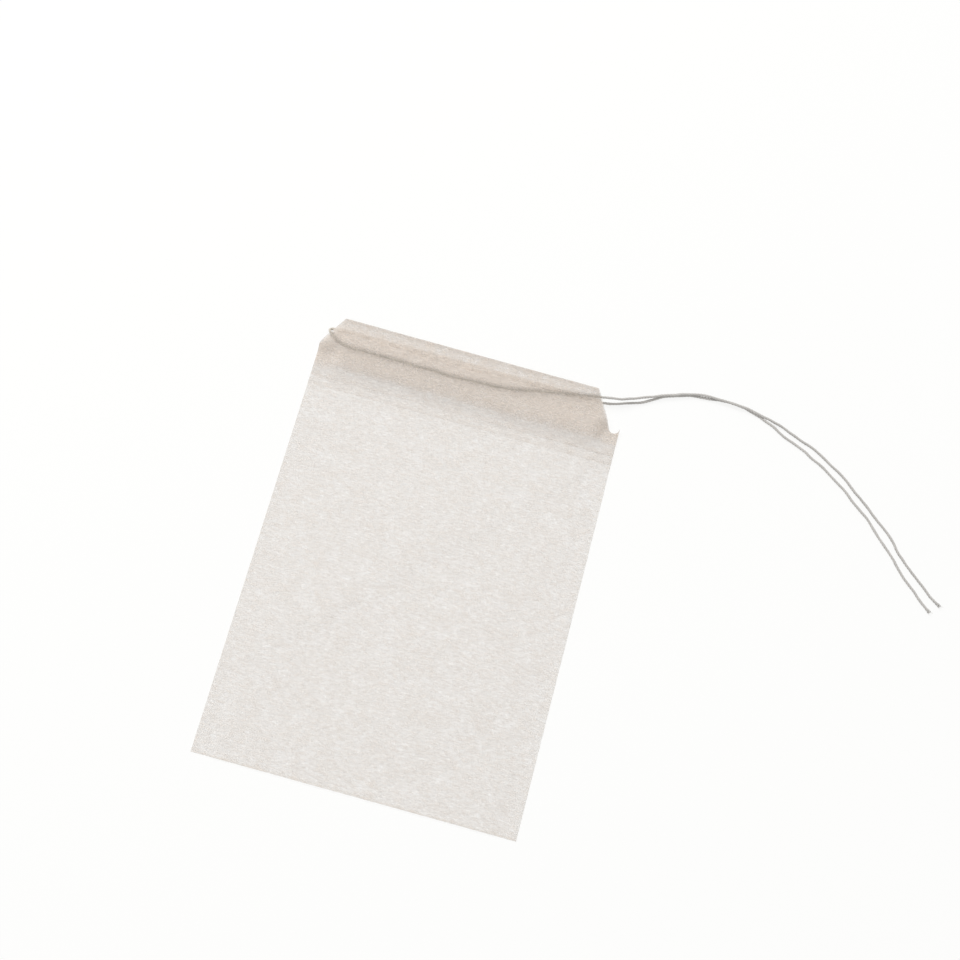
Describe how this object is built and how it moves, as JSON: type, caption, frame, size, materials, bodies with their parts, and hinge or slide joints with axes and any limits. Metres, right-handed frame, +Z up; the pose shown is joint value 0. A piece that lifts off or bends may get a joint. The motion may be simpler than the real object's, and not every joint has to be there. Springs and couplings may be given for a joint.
{
  "type": "tea filter bag",
  "caption": "Empty, flat drawstring tea filter bag: a folded filter paper pouch with sealed side seams, a hemmed mouth with die-cut corners, and one cotton thread.",
  "frame": {"origin": "centre of the pouch, on the surface that it lies on", "axes": "+X across the bag towards the side where the thread leaves, +Y along the bag towards its mouth, +Z up from the surface"},
  "size_m": [0.1482, 0.1058, 0.0028],
  "materials": {
    "unbleached_filter_paper": "matte, thin and translucent, with visible fibres",
    "twisted_cotton_thread": "matte twisted thread"
  },
  "bodies": {
    "root": {"filter_pouch": "unbleached_filter_paper", "drawstring": "twisted_cotton_thread"}
  },
  "joints": []
}
